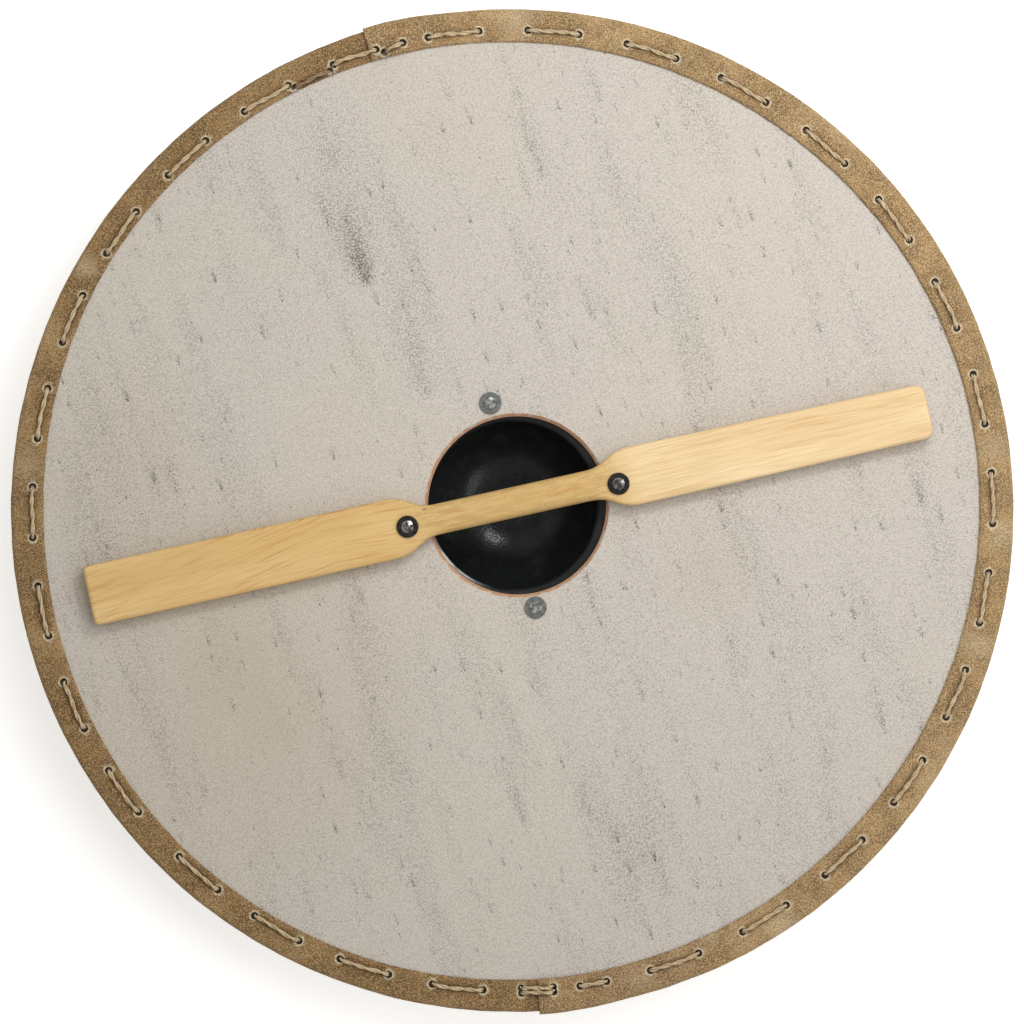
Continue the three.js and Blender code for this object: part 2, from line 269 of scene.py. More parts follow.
def rivet_pins(bottom, top):
    """Draws the four rivet holes between two heights."""

    def add_pins(bm):
        for place in rivet_places:
            middle = box_middle("rivet_" + place)
            pin(bm, middle, rivet_diameter / 2 + gap, bottom, top, 24)

    return add_pins


def soft_step(value):
    """Carries 0..1 to 0..1 with level ends."""
    value = min(max(value, 0), 1)
    return value * value * (3 - 2 * value)


def quarter(middle, radius, first_angle, steps, way=-1):
    """Points of a quarter circle in (radius, height), from first_angle in degrees."""
    points = []
    for i in range(steps + 1):
        turn = math.radians(first_angle + way * 90 * i / steps)
        points.append((middle[0] + radius * math.cos(turn), middle[1] + radius * math.sin(turn)))
    return points


# Lacing route, as in the fixed model


def arc_degrees(length, radius):
    return math.degrees(length / radius)


def lap_lift(angle, ramp_length=lap_ramp):
    """How far the outer strip is lifted at an angle, where it passes over the inner one's end."""
    lap = arc_degrees(lap_length, shield_radius)
    ramp = arc_degrees(ramp_length, shield_radius)
    slack = arc_degrees(gap, shield_radius)
    from_top = (seam_top_angle - angle + slack) % 360 - slack
    from_bottom = (angle - seam_bottom_angle + slack) % 360 - slack
    return lap_rise * soft_step((lap + slack + ramp - min(from_top, from_bottom)) / ramp)


def stitches(first, last, count):
    """Pairs of holes spaced evenly, with a strand on the back between the two of each pair."""
    holes = []
    for i in range(count):
        start = first + (last - first) * i / (count - 1)
        holes += [(start, 0), (start + stitch_span_angle, 0)]
    return holes


# Every hole in the order the twine takes it, as (angle, step off the lacing circle)
lace_holes = [
    (seam_top_angle - 0.8, 0),
    (seam_top_angle + 4.6, 0),
    *stitches(seam_top_angle + 10.5, seam_top_angle + 105.5, 9),
    *stitches(seam_bottom_angle - 47, seam_bottom_angle - 12.7, 4),
    (seam_bottom_angle - 2, double_shift / 2),
    (seam_bottom_angle + 1.8, double_shift / 2),
    (seam_bottom_angle - 2, -double_shift / 2),
    (seam_bottom_angle + 1.8, -double_shift / 2),
    (seam_bottom_angle + 5, 0),
    (seam_bottom_angle + 8.2, 0),
    *stitches(seam_bottom_angle + 13.6, seam_top_angle + 346.7, 15),
    (seam_top_angle + 355.9, 0),
    (seam_top_angle + 358.3, -double_shift),
    (seam_top_angle + 365.3, -double_shift),
    (seam_top_angle + 369.9, -double_shift),
]


def rim_place(angle, radius, height):
    """A point by its angle in degrees and its radius about the board's middle."""
    turn = math.radians(angle)
    x = board_middle.x + radius * math.cos(turn)
    y = board_middle.y + radius * math.sin(turn)
    return Vector((x, y, height))


# Nodes of materials


class Finish:
    """A material under construction, with short ways to add its nodes."""

    def __init__(self, name):
        self.material = bpy.data.materials.new(name)
        self.material.use_nodes = True
        self.tree = self.material.node_tree
        self.shader = self.tree.nodes["Principled BSDF"]
        self.place = self.add("ShaderNodeTexCoord").outputs["Object"]

    def add(self, kind, inputs=None, **settings):
        node = self.tree.nodes.new(kind)
        for name, value in settings.items():
            setattr(node, name, value)
        for name, value in (inputs or {}).items():
            self.join(value, node.inputs[name])
        return node

    def join(self, value, socket):
        if isinstance(value, bpy.types.NodeSocket):
            self.tree.links.new(value, socket)
        else:
            socket.default_value = value

    def sum(self, operation, *values, clamp=False):
        node = self.add("ShaderNodeMath", operation=operation, use_clamp=clamp)
        for socket, value in zip(node.inputs, values):
            self.join(value, socket)
        return node.outputs[0]

    def vector_sum(self, operation, *values):
        """A sum of vectors, which comes out as one number for a distance or a length."""
        node = self.add("ShaderNodeVectorMath", dict(enumerate(values)), operation=operation)
        return node.outputs["Value" if operation in ("DISTANCE", "LENGTH") else "Vector"]

    def axes(self, vector):
        split = self.add("ShaderNodeSeparateXYZ", {0: vector})
        return [split.outputs[axis] for axis in "XYZ"]

    def spread(self, vector, scale, shift=(0, 0, 0), turn=0):
        inputs = {"Vector": vector, "Scale": scale, "Location": shift, "Rotation": (0, 0, turn)}
        return self.add("ShaderNodeMapping", inputs).outputs[0]

    def cloud(self, vector, scale, detail=3, roughness=0.5, distortion=0):
        inputs = {"Vector": vector, "Scale": scale, "Detail": detail, "Roughness": roughness}
        inputs["Distortion"] = distortion
        return self.add("ShaderNodeTexNoise", inputs).outputs["Fac"]

    def band(self, value, low, high, from_value=0, to_value=1):
        """Carries value from low..high smoothly to from_value..to_value."""
        inputs = {"Value": value, "From Min": low, "From Max": high}
        inputs.update({"To Min": from_value, "To Max": to_value})
        node = self.add("ShaderNodeMapRange", inputs, interpolation_type="SMOOTHSTEP")
        return node.outputs[0]

    def blend(self, share, under, over, kind="MIX"):
        """Lays a colour over another. A mix node has its colour sockets at 6, 7 and 2."""
        node = self.add("ShaderNodeMix", data_type="RGBA", blend_type=kind)
        self.join(share, node.inputs[0])
        self.join(under, node.inputs[6])
        self.join(over, node.inputs[7])
        return node.outputs[2]

    def near(self, middle, radius, strength):
        """Strength at a middle on the back of the shield, falling smoothly to nothing."""
        away = self.vector_sum("DISTANCE", self.place, (*middle, board_back))
        return self.band(away, 0, radius, strength, 0)

    def patched(self, colour, patches, over):
        """Lays a colour over round patches, given as in the lists of them below."""
        for pixel_x, pixel_y, radius, strength in patches:
            near = self.near(on_board(pixel_x, pixel_y), radius * mm, strength)
            colour = self.blend(near, colour, over)
        return colour

    def attribute(self, name, output="Fac"):
        return self.add("ShaderNodeAttribute", attribute_name=name).outputs[output]

    def relief(self, height, depth, normal=None):
        inputs = {"Height": height, "Distance": depth, "Strength": 1.0}
        if normal is not None:
            inputs["Normal"] = normal
        return self.add("ShaderNodeBump", inputs).outputs[0]

    def shine(self, **values):
        """Sets plain values on the shader, such as Roughness=0.5."""
        for name, value in values.items():
            self.shader.inputs[name.replace("_", " ")].default_value = value

    def done(self, colour, normal=None):
        self.join(colour, self.shader.inputs["Base Color"])
        if normal is not None:
            self.join(normal, self.shader.inputs["Normal"])
        return self.material


def rgb(red, green, blue):
    """A colour given in screen values of 0 to 255."""

    def linear(value):
        value /= 255
        return value / 12.92 if value <= 0.04045 else ((value + 0.055) / 1.055) ** 2.4

    return (linear(red), linear(green), linear(blue), 1)


def on_board(pixel_x, pixel_y):
    """Where a pixel of the picture lies on the back of the board."""
    pixel = picture_width / picture_pixels
    right = (pixel_x - picture_pixels / 2) * pixel
    up = (picture_pixels / 2 - pixel_y) * pixel
    x = camera_aim.x + right * math.cos(picture_turn) + up * math.sin(picture_turn)
    y = camera_aim.y - right * math.sin(picture_turn) + up * math.cos(picture_turn)
    return x, y


# Stains on the wash: foot of the stain in the picture's pixels, half width and length in
# millimetres, and how dark it is. Each one is darkest at its foot and fades out upwards, the
# way the brush went.
stains = [
    (368, 280, 12, 96, 0.46),
    (364, 278, 24, 160, 0.52),
    (335, 165, 26, 100, 0.26),
    (427, 393, 17, 100, 0.30),
    (414, 350, 24, 90, 0.16),
    (280, 250, 16, 90, 0.12),
    (530, 150, 10, 90, 0.20),
    (530, 198, 3.4, 60, 0.40),
    (450, 98, 6, 42, 0.32),
    (740, 228, 4, 36, 0.34),
    (660, 182, 3, 30, 0.30),
    (587, 311, 4, 28, 0.28),
    (793, 728, 4, 48, 0.34),
    (668, 892, 12, 105, 0.34),
    (640, 860, 26, 120, 0.10),
    (745, 672, 16, 90, 0.20),
    (832, 768, 12, 95, 0.18),
    (493, 914, 3.4, 30, 0.34),
    (403, 868, 3.6, 34, 0.32),
    (370, 901, 5, 44, 0.28),
    (313, 914, 6, 70, 0.28),
    (273, 858, 3.4, 26, 0.26),
    (577, 908, 3, 26, 0.26),
    (157, 482, 3.4, 26, 0.34),
    (923, 503, 6, 54, 0.46),
    (660, 535, 3.4, 26, 0.28),
    (413, 788, 3.4, 34, 0.30),
    (230, 414, 4, 40, 0.26),
    (933, 321, 4, 26, 0.30),
    (597, 229, 5, 26, 0.34),
    (650, 342, 4, 24, 0.30),
    (780, 517, 5, 26, 0.28),
]

# Yellowed patches of the wash: middle in the picture's pixels, radius in millimetres, strength
smudges = [
    (233, 665, 60, 0.26),
    (240, 720, 220, 0.30),
    (120, 480, 130, 0.20),
    (273, 717, 44, 0.20),
    (707, 573, 60, 0.16),
]

# Patches of the hide darkened by handling, given the same way
handled = [
    (395, 42, 60, 0.5),
    (300, 75, 40, 0.2),
    (817, 148, 175, 0.24),
    (942, 712, 90, 0.2),
    (650, 985, 110, 0.4),
    (460, 1000, 90, 0.36),
    (253, 910, 150, 0.2),
    (175, 870, 90, 0.2),
    (70, 760, 70, 0.3),
    (960, 290, 70, 0.15),
]

# Pale patches of the hide, given the same way
bleached = [
    (1002, 534, 18, 0.60),
    (977, 645, 18, 0.55),
    (86, 267, 16, 0.55),
    (781, 922, 20, 0.70),
    (640, 976, 18, 0.30),
    (680, 958, 18, 0.30),
    (992, 449, 22, 0.35),
    (27, 465, 22, 0.35),
    (519, 21, 26, 0.50),
    (705, 935, 18, 0.35),
]


def washed_board_finish():
    """Thin warm-grey wash over birch, with grainy stains drawn out the way it was brushed on."""
    finish = Finish("washed_board")
    place = finish.place
    # Edges of the marks wander by up to half of this
    raggedness = 2.6 * mm
    ragged = finish.add("ShaderNodeTexNoise", {"Vector": place, "Scale": 210, "Detail": 1})
    brushed = finish.spread(place, (1, 1, 1), turn=-brush_lean)
    loose = finish.vector_sum("MULTIPLY_ADD", ragged.outputs["Color"], (raggedness,) * 3, brushed)

    def mark(vector):
        """Narrow and dark at the vector's origin, widening and fading out a length above it."""
        across, along, _ = finish.axes(vector)
        flare = finish.sum("MULTIPLY_ADD", along, 1.3, 0.45)
        flare = finish.sum("MAXIMUM", flare, 0.4)
        across = finish.sum("DIVIDE", across, flare)
        flared = finish.add("ShaderNodeCombineXYZ", {0: across, 1: along})
        spot = finish.add("ShaderNodeTexGradient", {"Vector": flared.outputs[0]},
                          gradient_type="QUADRATIC_SPHERE").outputs["Fac"]
        foot = finish.sum("MULTIPLY_ADD", along, 12, 0.9, clamp=True)
        return finish.sum("MULTIPLY", spot, foot)

    dark = 0.0
    for pixel_x, pixel_y, half_width, length, strength in stains:
        foot_x, foot_y = Matrix.Rotation(-brush_lean, 2) @ Vector(on_board(pixel_x, pixel_y))
        across, along = 1 / (2 * half_width * mm), 1 / (length * mm)
        shift = (-(foot_x + raggedness / 2) * across, -(foot_y + raggedness / 2) * along, 0)
        vector = finish.vector_sum("MULTIPLY_ADD", loose, (across, along, 0), shift)
        dark = finish.sum("MULTIPLY_ADD", mark(vector), strength, dark)

    # Small marks of three sizes, at most one to a cell: width and height of the cell, half
    # width and length of the mark, strength of the darkest, and the share of empty cells
    for cell_x, cell_y, half_width, length, strength, empty in (
        (24, 34, 2.0, 17, 0.85, 0.42),
        (14, 22, 1.3, 9, 0.65, 0.45),
        (60, 110, 6, 60, 0.4, 0.3),
    ):
        cells = finish.spread(loose, (1 / (cell_x * mm), 1 / (cell_y * mm), 0), (cell_x, cell_y, 0))
        voronoi = finish.add("ShaderNodeTexVoronoi", {"Vector": cells, "Scale": 1.0,
                             "Randomness": 0.9}, voronoi_dimensions="2D")
        away = finish.vector_sum("SUBTRACT", cells, voronoi.outputs["Position"])
        stretch = (cell_x / half_width / 2, cell_y / length, 0)
        vector = finish.vector_sum("MULTIPLY", away, stretch)
        chance = finish.add("ShaderNodeSeparateColor", {0: voronoi.outputs["Color"]}).outputs[0]
        picked = finish.band(chance, empty, 1.0, 0, strength)
        dark = finish.sum("MULTIPLY_ADD", mark(vector), picked, dark)

    # The wash's own grain breaks the marks up and speckles the whole board
    grains = finish.cloud(place, 760, 2, 0.8)
    dark = finish.sum("MULTIPLY", dark, finish.band(grains, 0.34, 0.62, 1.35, 0.7))
    streaks = finish.cloud(finish.spread(brushed, (1, 0.16, 1)), 26, 3, 0.6)
    rougher = finish.band(finish.cloud(place, 6, 1), 0.35, 0.6, 0.6, 0.95)
    speckle = finish.sum("MULTIPLY", finish.band(grains, 0.3, 0.7, 0.3, -0.4), rougher)
    for extra in (
        speckle,
        finish.band(finish.cloud(place, 330, 0), 0.76, 0.84, 0, 0.35),
        finish.band(streaks, 0.45, 0.72, -0.02, 0.2),
    ):
        dark = finish.sum("ADD", dark, extra)
    dark = finish.sum("MINIMUM", dark, 0.9)

    tint = finish.band(finish.cloud(place, 7, 1), 0.38, 0.62)
    wash = finish.blend(tint, rgb(200, 192, 181), rgb(199, 191, 183))
    wash = finish.blend(finish.band(grains, 0.66, 0.36), wash, rgb(182, 174, 164))
    wash = finish.patched(wash, smudges, rgb(172, 160, 130))
    colour = finish.blend(dark, wash, rgb(90, 88, 84))

    # Painted shade under the hide, which shows as dark at the bottom of the awl holes
    centre = (board_middle.x, board_middle.y, board_back)
    away = finish.vector_sum("DISTANCE", place, centre)
    under_hide = shield_radius - hide_width + 4 * mm
    painted_shade_under_hide = finish.band(away, under_hide, under_hide + 1.5 * mm, 0, 0.95)
    colour = finish.blend(painted_shade_under_hide, colour, rgb(40, 32, 24))
    finish.shine(Roughness=0.82, Specular_IOR_Level=0.25)
    return finish.done(colour, finish.relief(grains, 0.16 * mm))


def bare_ply_finish():
    """Sawn edge of the board, with the glue lines between its plies."""
    finish = Finish("bare_ply_edge")
    place = finish.place
    plies = finish.spread(place, (4, 4, 1 / ply_thickness))
    _, _, height = finish.axes(plies)
    turn = finish.sum("FRACT", finish.sum("MULTIPLY", height, 0.5))
    crossing = finish.band(turn, 0.45, 0.55)
    glue = finish.band(finish.sum("PINGPONG", height, 0.5), 0.0, 0.09, 1, 0)
    grain = finish.cloud(finish.spread(place, (1, 1, 6)), 300, 4, 0.6)
    wood = finish.blend(crossing, rgb(204, 164, 134), rgb(190, 144, 112))
    wood = finish.blend(finish.band(grain, 0.35, 0.7, 0, 0.35), wood, rgb(140, 90, 55))
    wood = finish.blend(finish.sum("MULTIPLY", glue, 0.8), wood, rgb(96, 58, 36))
    # The wash runs over the bevel of the hand hole, down to a ragged edge
    _, _, z = finish.axes(place)
    bevel_start = board_back - hand_hole_bevel
    ragged = finish.band(finish.cloud(place, 160, 3, 0.7), 0.35, 0.65, 0, hand_hole_bevel)
    above = finish.sum("SUBTRACT", z, ragged)
    washed = finish.band(above, bevel_start + 0.5 * mm, bevel_start + 1.3 * mm, 0, 0.8)
    colour = finish.blend(washed, wood, rgb(193, 185, 171))
    finish.shine(Roughness=0.75, Specular_IOR_Level=0.3)
    return finish.done(colour, finish.relief(grain, 0.2 * mm))


def hide_finish(name, body, wear_and_painted_highlight):
    """Rough suede: mottled and nappy, darkened by handling and bleached in patches.

    It is paler round the awl holes, browner along the strands, and dark in their dents with dirt
    and painted shade.
    """
    finish = Finish(name)
    place = finish.place
    mottle = finish.cloud(place, 46, 5, 0.62, 0.4)
    patches = finish.cloud(place, 15, 3, 0.5, 0.3)
    nap = finish.cloud(place, 900, 2, 0.85)
    specks = finish.cloud(place, 800, 1, 0.6)
    shadow = tuple(channel * 0.46 for channel in body[:3]) + (1,)
    colour = finish.blend(finish.band(mottle, 0.36, 0.66), shadow, body)
    colour = finish.blend(finish.band(patches, 0.5, 0.72, 0, 0.62), colour, wear_and_painted_highlight)
    colour = finish.patched(colour, handled, rgb(96, 68, 42))
    colour = finish.patched(colour, bleached, rgb(206, 192, 164))
    grease = finish.sum("MULTIPLY", finish.attribute("grease"),
                        finish.band(mottle, 0.3, 0.6, 0.9, 0.5))
    colour = finish.blend(grease, colour, rgb(206, 182, 158), "MULTIPLY")
    colour = finish.blend(finish.band(nap, 0.46, 0.62, 0, 0.9), colour, wear_and_painted_highlight)
    colour = finish.blend(finish.band(nap, 0.34, 0.49, 1.0, 0), colour, shadow)
    colour = finish.blend(finish.band(specks, 0.54, 0.68, 0, 0.4), colour, rgb(150, 96, 62))
    # Paler round the awl holes, less so under the strands
    pale_lip = finish.sum("MULTIPLY", finish.attribute("pale_lip"),
                        finish.band(nap, 0.32, 0.6, 0.3, 1.0))
    colour = finish.blend(pale_lip, colour, rgb(226, 210, 176))
    # Dirt and painted shade in the dents under the strands
    colour = finish.blend(finish.attribute("dirt_and_shade"), colour, rgb(46, 34, 22))
    normal = finish.relief(mottle, 0.7 * mm)
    normal = finish.relief(nap, 0.6 * mm, normal)
    finish.shine(Roughness=0.95, Specular_IOR_Level=0.15, Sheen_Weight=0.25, Sheen_Roughness=0.6)
    finish.shine(Sheen_Tint=rgb(214, 196, 160))
    return finish.done(colour, normal)


def twine_finish():
    """Natural twine: pale fibres along each ply, greyed in patches, dark where it is sunk."""
    finish = Finish("lacing_twine")
    lay = finish.attribute("lay", "Vector")
    fibres = finish.cloud(finish.spread(lay, (0.12, 1, 1)), 2600, 3, 0.6)
    patches = finish.cloud(finish.place, 60, 3)
    colour = finish.blend(finish.band(fibres, 0.34, 0.68), rgb(146, 120, 84), rgb(224, 204, 168))
    colour = finish.blend(finish.band(patches, 0.42, 0.7, 0, 0.45), colour, rgb(178, 158, 128))
    sunk = finish.sum("MULTIPLY", finish.attribute("sunk"), 0.75)
    colour = finish.blend(sunk, colour, rgb(112, 84, 52))
    finish.shine(Roughness=0.85, Specular_IOR_Level=0.25, Sheen_Weight=0.2)
    return finish.done(colour, finish.relief(fibres, 0.35 * mm))


def grip_finish():
    """Oiled pale ash with a small knot and fine lines along the bar, some sweeping off its edge."""
    finish = Finish("grip_wood")
    place = finish.place
    x, y, z = finish.axes(place)

    # Lines of the grain, bent a little and leaning off at both ends, more so at the far left
    bent = finish.cloud(finish.spread(place, (3, 9, 3)), 1, 2)
    bent = finish.sum("MULTIPLY", finish.sum("SUBTRACT", bent, 0.5), 26 * mm)
    lean = finish.sum("MULTIPLY", finish.sum("ABSOLUTE", x), -0.035)
    beyond = finish.sum("MINIMUM", finish.sum("ADD", x, 150 * mm), 0)
    lean = finish.sum("MULTIPLY_ADD", beyond, -0.24, lean)
    across = finish.sum("ADD", finish.sum("ADD", y, bent), lean)
    across = finish.sum("ADD", across, finish.sum("MULTIPLY", z, 0.8))
    rings = finish.add("ShaderNodeCombineXYZ", {0: finish.sum("MULTIPLY", x, 0.02), 1: across})
    lines = finish.cloud(rings.outputs[0], 230, 2, 0.6)
    fine = finish.cloud(finish.spread(place, (0.03, 1, 1)), 1100, 3, 0.6)

    # The wood is paler to the right, a painted brightening where the light and its sheen fall
    # strongest, and darkened on the handle by the hand
    broad = finish.cloud(finish.spread(place, (0.5, 3, 1)), 9, 3)
    broad = finish.band(broad, 0.35, 0.68)
    pale = finish.blend(broad, rgb(218, 190, 143), rgb(230, 205, 161))
    toned = finish.blend(broad, rgb(207, 173, 113), rgb(218, 186, 129))
    # Painted light: the right arm is made paler than the left
    wood = finish.blend(finish.band(x, 60 * mm, 120 * mm), toned, pale)
    held = finish.band(finish.sum("ABSOLUTE", x), handle_length / 2, handle_length / 2 + 45 * mm,
                       0.9, 0)
    pores = finish.cloud(finish.spread(place, (0.22, 1, 1)), 330, 3, 0.7)
    held = finish.sum("MULTIPLY", held, finish.band(pores, 0.34, 0.6, 1.35, 0.55), clamp=True)
    wood = finish.blend(held, wood, rgb(188, 157, 99))

    off_line = finish.sum("ABSOLUTE", finish.sum("SUBTRACT", lines, 0.54))
    faint = finish.band(finish.cloud(finish.spread(place, (1, 3, 1)), 14, 1), 0.35, 0.55, 0.35, 1)
    line = finish.sum("MULTIPLY", finish.band(off_line, 0.008, 0.036, 0.62, 0), faint)
    line = finish.sum("MULTIPLY", line, finish.band(x, 40 * mm, 110 * mm, 1, 0.6))
    colour = finish.blend(line, wood, rgb(188, 134, 80))
    colour = finish.blend(finish.band(fine, 0.42, 0.68, 0, 0.26), colour, rgb(172, 130, 80))
    knot = (*on_board(425, 509), grip_top)
    flattened = finish.spread(finish.vector_sum("SUBTRACT", place, knot), (0.35, 1, 1))
    from_knot = finish.vector_sum("LENGTH", flattened)
    near = finish.band(from_knot, 0.3 * mm, 1.1 * mm, 0.75, 0)
    colour = finish.blend(near, colour, rgb(70, 46, 24))
    finish.shine(Roughness=0.5, Specular_IOR_Level=0.35)
    return finish.done(colour, finish.relief(fine, 0.06 * mm))


def boss_finish():
    """Black enamel on spun steel, uneven and dusty, with a painted highlight along the lip at the
    lower left.
    """
    finish = Finish("boss_enamel")
    place = finish.place
    dust = finish.cloud(place, 55, 4, 0.65)
    colour = finish.blend(finish.band(dust, 0.45, 0.8, 0, 0.35), rgb(28, 31, 30), rgb(66, 70, 68))
    # A painted highlight: a bright line on the lip at the lower left, where the key light shines
    # back, broken up by the dust
    painted_highlight_side = finish.near(on_board(448, 562), 45 * mm, 1.0)
    reach = finish.vector_sum("LENGTH", finish.vector_sum("MULTIPLY", place, (1, 1, 0)))
    off_lip = finish.sum("SUBTRACT", reach, boss_bore / 2 + 1.2 * mm)
    on_lip = finish.band(finish.sum("ABSOLUTE", off_lip), 0.5 * mm, 1.2 * mm, 1, 0)
    wear_and_painted_highlight = finish.sum("MULTIPLY", finish.sum("MULTIPLY", painted_highlight_side, on_lip),
                      finish.band(dust, 0.35, 0.55, 0.5, 1.3))
    wear_and_painted_highlight = finish.sum("MINIMUM", wear_and_painted_highlight, 0.9)
    colour = finish.blend(wear_and_painted_highlight, colour, rgb(196, 200, 202))
    ripple = finish.cloud(place, 130, 2, 0.5)
    fleck = finish.cloud(place, 520, 1, 0.6)
    normal = finish.relief(ripple, 0.25 * mm)
    normal = finish.relief(fleck, 0.16 * mm, normal)
    finish.shine(Roughness=0.25, Specular_IOR_Level=0.32)
    return finish.done(colour, normal)


def steel_finish(name, dull, bright, roughness, metal):
    """Steel of a washer or a rivet, scratched and a little spotted."""
    finish = Finish(name)
    place = finish.place
    spots = finish.cloud(place, 300, 2, 0.5)
    scuffs = finish.cloud(finish.spread(place, (1, 0.2, 1), turn=0.6), 900, 3, 0.6)
    colour = finish.blend(finish.band(spots, 0.36, 0.66), dull, bright)
    normal = finish.relief(spots, 0.04 * mm)
    normal = finish.relief(scuffs, 0.01 * mm, normal)
    finish.shine(Roughness=roughness, Metallic=metal)
    return finish.done(colour, normal)


# Pieces


def make_board():
    """A ring of plywood: the loops run up the hand hole, over the back and round the rim."""
    outer, inner = board_radius, hand_hole_radius
    loops = [
        (hand_hole_middle, inner, board_front),
        (hand_hole_middle, inner, board_back - hand_hole_bevel),
        (hand_hole_middle, inner + hand_hole_bevel, board_back),
        (board_middle, outer - board_edge_round, board_back),
        (board_middle, outer, board_back - board_edge_round),
        (board_middle, outer, board_front + board_edge_round),
        (board_middle, outer - board_edge_round, board_front),
    ]

    def add_pins(cutters):
        bottom, top = board_front - gap, board_back + gap
        rivet_pins(bottom, top)(cutters)
        for angle, step in lace_holes:
            middle = rim_place(angle, lace_radius + step, 0)
            pin(cutters, middle, board_awl_radius, bottom, top, 12)

    bm = drilled(ring_of(loops, board_facets), add_pins)
    for face in bm.faces:
        face.material_index = 0 if abs(face.normal.z) > 0.95 else 1
    materials = [washed_board_finish(), bare_ply_finish()]
    return finished("board", bm, materials, ["shield_board"], 20)


def make_boss():
    """Spun steel: crown, dome, collar, lip rolled outwards and flange."""
    inner = boss_bore / 2
    crown = boss_crown_flat / 2
    lip_middle = (inner + boss_steel + boss_lip_radius, boss_height - boss_steel - boss_lip_radius)
    collar_start = lip_middle[1] - boss_collar
    edge = 0.6 * mm
    dome_steps = 24

    def dome(side):
        """From crown to collar, for the outer face or, a wall's thickness in, the inner one."""
        reach = inner + boss_steel - side - crown
        points = []
        for i in range(dome_steps + 1):
            turn = math.pi / 2 * i / dome_steps
            height = side + (collar_start - side) * (1 - math.cos(turn))
            points.append((crown + reach * math.sin(turn), height))
        return points

    def lip(radius):
        return quarter(lip_middle, radius, 180, 8)

    profile = [(0, 0), (crown * 0.5, 0)]
    profile += dome(0)
    profile += lip(boss_lip_radius)
    profile += [(flange_radius - edge, boss_height - boss_steel),
                (flange_radius, boss_height - boss_steel + edge),
                (flange_radius, boss_height - edge),
                (flange_radius - edge, boss_height)]
    profile += reversed(lip(boss_lip_radius + boss_steel))
    profile += reversed(dome(boss_steel))
    profile += [(crown * 0.5, boss_steel), (0, boss_steel)]
    bm = turned(profile, Vector((0, 0, 0)), boss_facets)
    bm = drilled(bm, rivet_pins(boss_height - 2 * boss_steel, boss_height + gap))
    return finished("shield_boss", bm, [boss_finish()], ["boss"])


def neck_step(value):
    """Height of the neck's curve at a share of its length, as a cubic with level ends."""
    value = min(max(value, 0), 1)
    low, high = 0.0, 1.0
    for _ in range(24):
        t = (low + high) / 2
        along = 1.5 * t * (1 - t) ** 2 + 1.5 * t * t * (1 - t) + t ** 3
        low, high = (t, high) if along < value else (low, t)
    return 3 * t * t - 2 * t ** 3


def corner_inset(distance, radius):
    """How far a rounded corner pulls a side in, at a distance from the end."""
    if distance >= radius:
        return 0
    return radius - math.sqrt(max(radius * radius - (radius - distance) ** 2, 0))


def grip_half_width(x):
    """Half the bar's width at x: the handle's, widening through a neck to an arm's."""
    neck = neck_step((abs(x) - handle_length / 2) / neck_length)
    if x < 0:
        paddle = paddle_width_left / 2
    else:
        neck_end = handle_length / 2 + neck_length
        share = max(x - neck_end, 0) / (grip_high.x - neck_end)
        paddle = (paddle_width_right + (paddle_end_width_right - paddle_width_right) * share) / 2
    return handle_width / 2 + (paddle - handle_width / 2) * neck


def grip_section(x):
    """Corners of the bar's section at x: a rectangle with rounded edges, fuller on the handle."""
    left_end, right_end = x - grip_low.x, grip_high.x - x
    from_end, corner = min((left_end, paddle_corner_left), (right_end, paddle_corner_right))
    drop = corner_inset(from_end, paddle_top_round)
    half_width = grip_half_width(x) - corner_inset(from_end, corner)
    arm_start = handle_length / 2 - 12 * mm
    paddle = soft_step((abs(x) - arm_start) / (neck_length * 0.8))
    top_round = handle_round + (paddle_top_round - handle_round) * paddle
    bottom_round = handle_round + (paddle_bottom_round - handle_round) * paddle
    top = grip_top - drop
    bottom = grip_bottom + min(drop, paddle_bottom_round)
    middle_y = (grip_low.y + grip_high.y) / 2
    points = []
    for way_y, way_z, radius, first_angle in ((1, 1, top_round, 0), (-1, 1, top_round, 90),
                                              (-1, -1, bottom_round, 180),
                                              (1, -1, bottom_round, 270)):
        radius = min(radius, (top - bottom) / 2, half_width)
        centre_y = way_y * (half_width - radius)
        centre_z = top - radius if way_z > 0 else bottom + radius
        for y, z in quarter((centre_y, centre_z), radius, first_angle, 7, way=1):
            points.append(Vector((x, middle_y + y, z)))
    return points


def make_grip():
    """The bar, lofted from section to section from its left end to its right end."""
    ends = [0, 0.15, 0.45, 0.9, 1.5, 2.2, 3, 4, 5, 6.5, 8, 9.5]
    end_reach = 12 * mm
    stations = [grip_low.x + step * mm for step in ends]
    stations += list(np.linspace(grip_low.x + end_reach, grip_high.x - end_reach, 240))
    stations += [grip_high.x - step * mm for step in reversed(ends)]
    sections = [grip_section(x) for x in stations]
    bm = sleeve(len(stations), len(sections[0]), lambda i, j: sections[i][j])
    bm = drilled(bm, rivet_pins(grip_bottom - gap, grip_top + gap))
    return finished("grip_bar", bm, [grip_finish()], ["grip"], 30)


